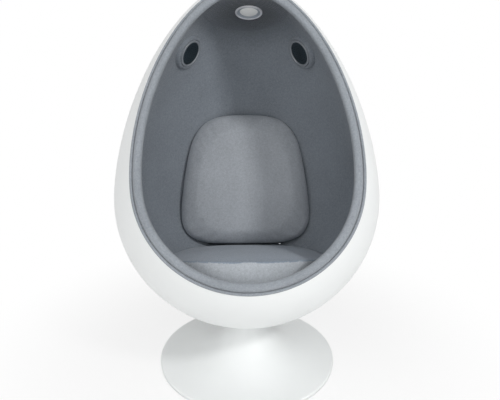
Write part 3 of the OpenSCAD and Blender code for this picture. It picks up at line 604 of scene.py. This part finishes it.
# Lining
def speaker_matrix(side):
    r = egg_radius(SPEAKER_Z, LINING_D)
    local = (Matrix.Rotation(-SPEAKER_TURN, 4, "Z") @ Matrix.Translation((-r, 0, SPEAKER_Z))
             @ Matrix.Rotation(SPEAKER_TURN - SPEAKER_AIM, 4, "Z")
             @ Matrix.Rotation(math.radians(90) + SPEAKER_DOWN, 4, "Y")
             @ Matrix.Translation((0, 0, SPEAKER_PROUD)))
    mirror = Matrix.Scale(-1, 4, (1, 0, 0)) if side > 0 else Matrix()
    return TO_EGG @ mirror @ local


SPEAKERS = {-1: speaker_matrix(-1), 1: speaker_matrix(1)}
GROOVE_W, GROOVE_D = 0.010, 0.004
# Radius and depth of the recesses, how near a point must be to one, and how far they reach behind the cloth
SPEAKER_HOLE = (BEZEL_R - 0.004, 0.030)
LAMP_HOLE = (LAMP_R - 0.006, 0.016)
HOLE_REACH, RECESS_D = 0.06, 0.015


def dome_height(x, y):
    return DOME_Z + math.sqrt(max(DOME_R ** 2 - x * x - (y - DOME_Y) ** 2, 0))


def wall_point(u, phi):
    r, z = meridian(u, LINING_D)
    return r * math.cos(phi), r * math.sin(phi), z


def wall_top(phi):
    """The u at which the wall meets the ceiling."""
    low, high = 0.2, math.radians(89.9)
    for _ in range(40):
        mid = (low + high) / 2
        x, y, z = wall_point(mid, phi)
        if z < dome_height(x, y):
            low = mid
        else:
            high = mid
    return low


def lining_rows():
    """Rings of points up the wall, and from the wall's top to the middle of the ceiling."""
    ways = [TAU * j / LINING_TURNS for j in range(LINING_TURNS)]
    tops = [wall_top(phi) for phi in ways]
    pole = -math.pi / 2
    wall = [[wall_point(pole + (top - pole) * i / WALL_STEPS, phi) for phi, top in zip(ways, tops)]
            for i in range(WALL_STEPS + 1)]
    ceiling = [wall[-1]]
    for i in range(1, CEILING_STEPS + 1):
        row = []
        for phi, top in zip(ways, tops):
            r = meridian(top, LINING_D)[0] * (1 - i / CEILING_STEPS)
            x, y = r * math.cos(phi), r * math.sin(phi)
            row.append((x, y, dome_height(x, y)))
        ceiling.append(row)
    return wall, ceiling


def recessed(v, holes):
    """Sets a point back where it lies behind a speaker or the lamp."""
    for matrix, (radius, depth) in holes:
        p = matrix.inverted() @ v
        if abs(p.z) < HOLE_REACH and math.hypot(p.x, p.y) < radius:
            v = inside(matrix @ Vector((p.x, p.y, -depth)), -RECESS_D)
    return v


def grooved(v):
    """Sinks the cloth a little beside the padded roll, where it is sewn in."""
    behind = (OPEN_CO - TO_EGG @ v).dot(OPEN_NO)
    if not 0 < behind < GROOVE_W:
        return v
    r = math.hypot(v.x, v.y)
    out = 1 + GROOVE_D * (1 - behind / GROOVE_W) / max(r, 0.05)
    return Vector((v.x * out, v.y * out, v.z))


def lining():
    """Wall and ceiling, which meet in a clean crease."""
    inverse = TO_EGG.inverted()
    holes = [(inverse @ SPEAKERS[side], SPEAKER_HOLE) for side in (-1, 1)]
    holes.append((inverse @ LAMP, LAMP_HOLE))
    wall, ceiling = lining_rows()
    sheets = (("wall_skin", wall, "lining_fabric"), ("ceiling_skin", ceiling, "ceiling_fabric"))
    for name, rows, node_name in sheets:
        verts, faces = grid(rows)
        points = [recessed(Vector(v), holes) for v in verts]
        if name == "wall_skin":
            points = [grooved(p) for p in points]
        obj = new_mesh(name, [TO_EGG @ p for p in points], faces)
        edit_mesh(obj, weld, face_out, cut_open)
        egg_uv(obj)
        place(obj, MATS["lining"], POD, node_name)


lining()

# Rim: how far the roll is tucked in, how squarely it is padded, and its puckers and sewn groove
LIP_DROP, LIP_PROUD = 0.010, 0.0006
RIM_ROUND, PUCKERS_ROUND, PUCKERS_ACROSS, SEAM_W = 0.8, 14, 1.3, 0.10


def rim_height(t, a, height, seams, tuck, pucker):
    """Height of a rim tube over the opening plane, at t round its section and a round the rim."""
    h = height * max(math.sin(t), 0) ** RIM_ROUND - LIP_DROP * max((t - math.pi) / max(tuck, 0.1), 0)
    wave = noise.noise(Vector((math.cos(a) * PUCKERS_ROUND, math.sin(a) * PUCKERS_ROUND, t * PUCKERS_ACROSS)))
    h *= 1 + pucker * wave * math.sin(t)
    if t >= math.pi:
        return h
    dip = sum(depth * math.exp(-((t - where) / SEAM_W) ** 2) for where, depth in seams)
    return max(h - dip * height, 0)


def rim_piece(name, node_name, outer_d, inner_d, height, seams, tuck, sections, around, pucker):
    """Tube along the rim, rounded in front and tucked in behind."""
    rows, uvs = [], []
    length = 0.0
    last = None
    for i in range(sections):
        a = TAU * i / sections
        outer, inner = ring_r(a, outer_d), ring_r(a, inner_d)
        mid, half = (outer + inner) / 2, (outer - inner) / 2
        centre = Vector((mid * math.cos(a), ring_y(mid, a), 0))
        if last is not None:
            length += (centre - last).length
        last = centre
        row = []
        for j in range(around):
            t = (math.pi + tuck) * j / (around - 1)
            h = rim_height(t, a, height, seams, tuck, pucker)
            row.append(on_opening(mid + half * math.cos(t), a, GLUE + h))
            uvs.append((length, t * (height + half)))
        rows.append(row)
    verts, faces = grid(rows, closed=True)
    obj = new_mesh(name, verts, faces, uvs)
    edit_mesh(obj, face_out)
    place(obj, MATS["rim"], POD, node_name)


rim_piece("welt_skin", "rim_welt", 0.0, WELT_W, WELT_H, [], 0.0, 360, 14, 0.08)
rim_piece("roll_skin", "rim_roll", WELT_W + TRIM_GAP, LINING_D + LIP_PROUD, ROLL_H, [(0.42, 0.05)], 0.9,
          420, 32, 0.10)


# Cushions
SEAT_HALF, SEAT_FRONT, SEAT_REAR, SEAT_Y = 0.278, 0.322, 0.282, 0.065
SEAT_LEVEL, SEAT_T = 0.175, 0.108
SEAT_SIDE_FALL, SEAT_REAR_FALL, SEAT_FRONT_FALL, SEAT_BULGE = 0.028, 0.012, 0.005, 0.006
FRONT_SHARE, REAR_SHARE = 2.45, 2.5
BACK_HALF, BACK_UP, BACK_DOWN, BACK_Y = 0.250, 0.343, 0.160, 0.305
BACK_EDGE, BACK_CROWN, BACK_REAR, BACK_LEVEL, BACK_FLAT = 0.036, 0.040, 0.030, 0.020, 0.004
BACK_TOP_SHARE, BACK_LOW_SHARE = 3.25, 3.7
TAPER, TAPER_FROM, TAPER_OVER = 0.08, -0.06, 0.26
# How far the skins are drawn inside the cushions before the cloth is blown up, and the seat's top seam
SET_IN, SEAM_IN = 0.003, 0.0015


def signed_power(v, e):
    return math.copysign(abs(v) ** e, v)


def seat_plan(a, s):
    share, reach = (REAR_SHARE, SEAT_REAR) if math.sin(a) > 0 else (FRONT_SHARE, SEAT_FRONT)
    x = s * SEAT_HALF * signed_power(math.cos(a), 2 / share)
    return x, SEAT_Y + s * reach * signed_power(math.sin(a), 2 / share)


def seat_surface(x, y):
    u = abs(x) / SEAT_HALF
    v = (y - SEAT_Y) / (SEAT_REAR if y > SEAT_Y else SEAT_FRONT)
    return -SEAT_LEVEL - SEAT_SIDE_FALL * u ** 5 - (SEAT_REAR_FALL if v > 0 else SEAT_FRONT_FALL) * v * v


def seat_ring(s, share, set_in=SET_IN):
    """Ring at share s of the seat's plan and at a share of its thickness from the top."""
    row = []
    for i in range(CUSHION_TURNS):
        x, y = seat_plan(-TAU * i / CUSHION_TURNS, s)
        top = seat_surface(x, y) - set_in
        bottom = -SEAT_LEVEL - SEAT_T + set_in
        row.append(inside((x, y, top + (bottom - top) * share), CUSHION_GAP + set_in))
    return row


def closed_skin(name, rows):
    """Closed surface over rings of points, with a fan at each end."""
    n = len(rows[0])
    verts, faces = grid(rows)
    for start, row in ((0, rows[0]), (len(rows) * n - n, rows[-1])):
        middle = len(verts)
        verts.append(sum((Vector(p) for p in row), Vector()) / n)
        for j in range(n):
            fan = (start + j, start + (j + 1) % n, middle)
            faces.append(fan if start else fan[::-1])
    obj = new_mesh(name, [TO_EGG @ Vector(v) for v in verts], faces)
    edit_mesh(obj, face_out)
    return obj


def apply_modifier(obj, name, kind, **settings):
    mod = obj.modifiers.new(name, kind)
    for key, value in settings.items():
        setattr(mod, key, value)
    deps = bpy.context.evaluated_depsgraph_get()
    mesh = bpy.data.meshes.new_from_object(obj.evaluated_get(deps))
    obj.modifiers.clear()
    obj.data = mesh


def inflate(obj, seams, cap, pressure, hold=0.006, frames=20):
    """Cloth under pressure with its seams held; no point may move further than cap."""
    start = [v.co.copy() for v in obj.data.vertices]
    held = obj.vertex_groups.new(name="held")
    seam_points = np.array([tuple(p) for seam in seams for p in seam])
    for v in obj.data.vertices:
        if np.min(np.linalg.norm(seam_points - np.array(v.co), axis=1)) < hold:
            held.add([v.index], 1.0, "REPLACE")
    cloth = obj.modifiers.new("cloth", "CLOTH")
    s = cloth.settings
    s.vertex_group_mass = "held"
    s.use_pressure = True
    s.uniform_pressure_force = pressure
    s.effector_weights.gravity = 0
    s.quality = 5
    s.tension_stiffness = 12
    s.compression_stiffness = 12
    s.bending_stiffness = 2.0
    s.mass = 0.3
    cloth.collision_settings.use_collision = False
    for f in range(1, frames + 1):
        scene.frame_set(f)
    deps = bpy.context.evaluated_depsgraph_get()
    moved = [v.co.copy() for v in obj.evaluated_get(deps).data.vertices]
    obj.modifiers.clear()
    obj.vertex_groups.clear()
    scene.frame_set(1)
    for v, a, b in zip(obj.data.vertices, start, moved):
        step = b - a
        if step.length > cap:
            step *= cap / step.length
        v.co = a + step
    obj.data.update()


def cushion(name, rows, seams, cap, pressure, smoothings):
    """Sewn skin, blown up between its seams, smoothed and held within the lining."""
    obj = closed_skin(name, rows)
    apply_modifier(obj, "remesh", "REMESH", mode="VOXEL", voxel_size=VOXEL, use_smooth_shade=True)
    inflate(obj, [[TO_EGG @ p for p in seam] for seam in seams], cap, pressure)
    apply_modifier(obj, "smooth", "SMOOTH", factor=0.5, iterations=smoothings)
    inverse = TO_EGG.inverted()
    for v in obj.data.vertices:
        v.co = TO_EGG @ inside(inverse @ v.co)
    return obj


def seat():
    seam_top = seat_ring(0.992, 0.012, SEAM_IN)
    seam_low = seat_ring(0.985, 1)
    rows = [seat_ring(s, 0) for s in (0.1, 0.25, 0.4, 0.55, 0.7, 0.8, 0.88, 0.94, 0.975)]
    rows.append(seam_top)
    rows += [seat_ring(1 + SEAT_BULGE / SEAT_HALF * math.sin(math.pi * z), z)
             for z in (0.1, 0.25, 0.4, 0.55, 0.7, 0.85, 0.95)]
    rows.append(seam_low)
    rows += [seat_ring(s, 1) for s in (0.9, 0.7, 0.4, 0.1)]
    obj = cushion("seat_pad", rows, [seam_top, seam_low], 0.008, 4.0, 3)
    inverse = TO_EGG.inverted()
    low = -SEAT_LEVEL - SEAT_T
    for v in obj.data.vertices:
        p = inverse @ v.co
        if p.z < low:
            p.z = low
            v.co = TO_EGG @ p
    apply_modifier(obj, "fine", "SUBSURF", levels=1, render_levels=1)
    place(obj, MATS["seat_side"], POD, "seat_cushion")
    # Faces that look up take the darker copy of the seat cloth, painted shade on the top
    obj.data.materials.append(MATS["seat_top_painted_shade"])
    up = (TO_EGG.to_3x3() @ Vector((0, 0, 1))).normalized()
    for poly in obj.data.polygons:
        poly.material_index = 1 if poly.normal.dot(up) > 0.6 else 0


def back_outline(a, s):
    """Outline of the back cushion at share s; it narrows towards its top."""
    share, reach = (BACK_TOP_SHARE, BACK_UP) if math.sin(a) > 0 else (BACK_LOW_SHARE, BACK_DOWN)
    z = max(s * reach * signed_power(math.sin(a), 2 / share), BACK_FLAT - BACK_DOWN)
    rise = min(max((z - TAPER_FROM) / TAPER_OVER, 0), 1)
    narrow = 1 - TAPER * rise * rise * (3 - 2 * rise)
    return s * BACK_HALF * narrow * signed_power(math.cos(a), 2 / share), z - BACK_LEVEL


def back_ring(s, face, t=0.0):
    """Ring at share s of the outline, on the front or rear face, or at share t across the edge."""
    front, rear = BACK_Y - BACK_EDGE / 2, BACK_Y + BACK_EDGE / 2
    swell = max(1 - s ** 8, 0) ** 0.5
    row = []
    for i in range(CUSHION_TURNS):
        x, z = back_outline(TAU * i / CUSHION_TURNS, s)
        wall = math.sqrt(egg_radius(z, LINING_D) ** 2 - x * x) - CUSHION_GAP - SET_IN
        if face == "front":
            y = front - BACK_CROWN * swell + SET_IN
        elif face == "rear":
            y = rear + BACK_REAR * swell - SET_IN
        else:
            low, high = front + SET_IN, min(rear, wall) - SET_IN
            y = low + (high - low) * t
        row.append(Vector((x, min(y, wall), z)))
    return row


def back():
    rows = [back_ring(s, "front") for s in (0.08, 0.2, 0.35, 0.5, 0.65, 0.78, 0.88, 0.94, 0.98)]
    rows += [back_ring(1, "edge", t) for t in (0, 0.5, 1)]
    rows += [back_ring(s, "rear") for s in (0.98, 0.92, 0.82, 0.68, 0.5, 0.3, 0.1)]
    obj = cushion("back_pad", rows, [back_ring(1.0, "edge", 0.5)], 0.007, 3.0, 12)
    apply_modifier(obj, "fine", "SUBSURF", levels=1, render_levels=1)
    place(obj, MATS["back"], POD, "back_cushion")


seat()
back()


# Speakers: the padded ring's crest, its falling flank, and how far its foot may sink behind the cloth
CREST_R, CREST_H, CREST_ROUND = BEZEL_R + 0.0035, 0.0045, 0.003
FLANK_W, FLANK_FALL, PAD_FOOT, PAD_SUNK = 0.0125, 0.034, -0.012, 0.004


def speaker_pad(side, name):
    rounding = [math.radians(15 * i) for i in range(1, 7)]
    falling = [math.radians(10 * i) for i in range(1, 10)]
    shoulder = CREST_H - CREST_ROUND
    profile = [(BEZEL_R + GLUE, PAD_FOOT), (BEZEL_R + GLUE, shoulder)]
    profile += [(CREST_R - CREST_ROUND * math.cos(u), shoulder + CREST_ROUND * math.sin(u)) for u in rounding]
    profile += [(CREST_R + FLANK_W * math.sin(u), CREST_H - FLANK_FALL * (1 - math.cos(u))) for u in falling]
    obj = revolve(name + "_pad_skin", profile, SPEAKERS[side], 128)
    for v in obj.data.vertices:
        v.co = TO_EGG @ inside(TO_EGG.inverted() @ v.co, -PAD_SUNK)
    place(obj, MATS["pad"], POD, name + "_speaker_pad")


speaker_pad(-1, "left")
speaker_pad(1, "right")

# CAD nodes that stay, by material; each side has a speaker
STAY = {
    "rubber": ["foot_ring"],
    "dark_steel": ["base_plate", "column", "spindle_clip"],
    "steel": ["column_bolts", "bearing_lower_race", "bearing_upper_race", "bearing_balls", "spindle",
              "mount_bolts", "lamp_clips"],
    "bush": ["lower_bush", "upper_bush"],
    "brass": ["bearing_cage"],
    "white_matt": ["mount_boss"],
    "alloy": ["backing_block", "lamp_housing"],
    "foam": ["lining_foam", "seat_plinth"],
    "tape": ["seat_zip", "back_zip"],
    "chrome": ["zip_slider"],
    "case": ["amplifier"],
    "black": ["power_inlet"],
    "lamp_metal": ["lamp_bezel"],
    "lamp_inner": ["lamp_inner_ring"],
    "lens": ["lamp_lens"],
    "board": ["lamp_board"],
    "diode": ["lamp_diodes"],
}
SPEAKER_STAY = {
    "speaker_bezel": "bezel", "speaker_grille": "grille", "speaker_basket": "black",
    "speaker_magnet": "magnet", "speaker_surround": "rubber", "speaker_cone": "cone",
    "dust_cap": "cone", "voice_coil": "coil", "speaker_screws": "steel",
}
for key, names in STAY.items():
    for name in names:
        dress_node(name, MATS[key])
for side in ("left", "right"):
    for name, key in SPEAKER_STAY.items():
        dress_node(side + "_" + name, MATS[key])
